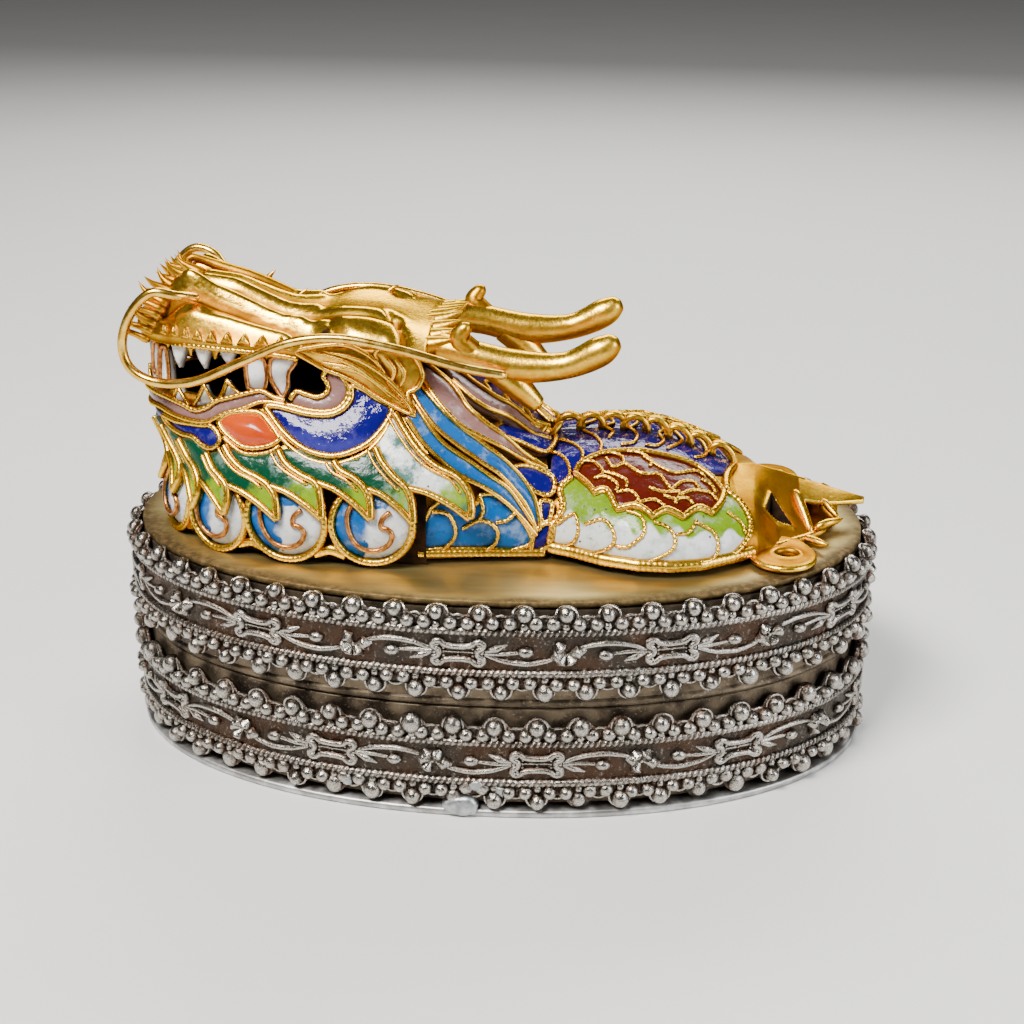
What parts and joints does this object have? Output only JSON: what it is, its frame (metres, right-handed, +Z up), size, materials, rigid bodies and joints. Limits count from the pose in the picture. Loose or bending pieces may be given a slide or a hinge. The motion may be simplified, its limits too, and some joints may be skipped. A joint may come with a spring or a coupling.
{
  "type": "enamelled trinket box",
  "caption": "Oval silver lidded box with stamped gallery sides and a cloisonne enamel dragon lying on its gilt lid.",
  "frame": {"origin": "middle of the flat underside, on the table", "axes": "+Z up, +X along the box towards the dragon's tail, -Y towards the side shown in the picture"},
  "size_m": [0.0908, 0.0564, 0.0563],
  "materials": {
    "silver": "stamped silver, rubbed bright on the high parts, black-brown tarnish in the recesses",
    "tarnished_sheet": "plain sheet with dark brown tarnish",
    "gilt_plate": "dull gilt sheet with brown tarnish along the edge",
    "enamel": "glossy opaque enamels between gilt wires",
    "gilding": "warm bright gilding, orange-brown in the hollows"
  },
  "bodies": {
    "root": {"foot_plate": "silver", "base_wall": "tarnished_sheet", "lid_wall": "tarnished_sheet", "lid_plate": "gilt_plate", "base_gallery_strip": "silver", "lid_gallery_strip": "silver", "dragon_head_shell": "enamel", "dragon_upper_head": "gilding", "horn_near": "gilding", "horn_far": "gilding", "whisker_near": "gilding", "whisker_far": "gilding", "dragon_body_shell": "enamel", "back_crest": "gilding", "tail_fin": "gilding"}
  },
  "joints": []
}
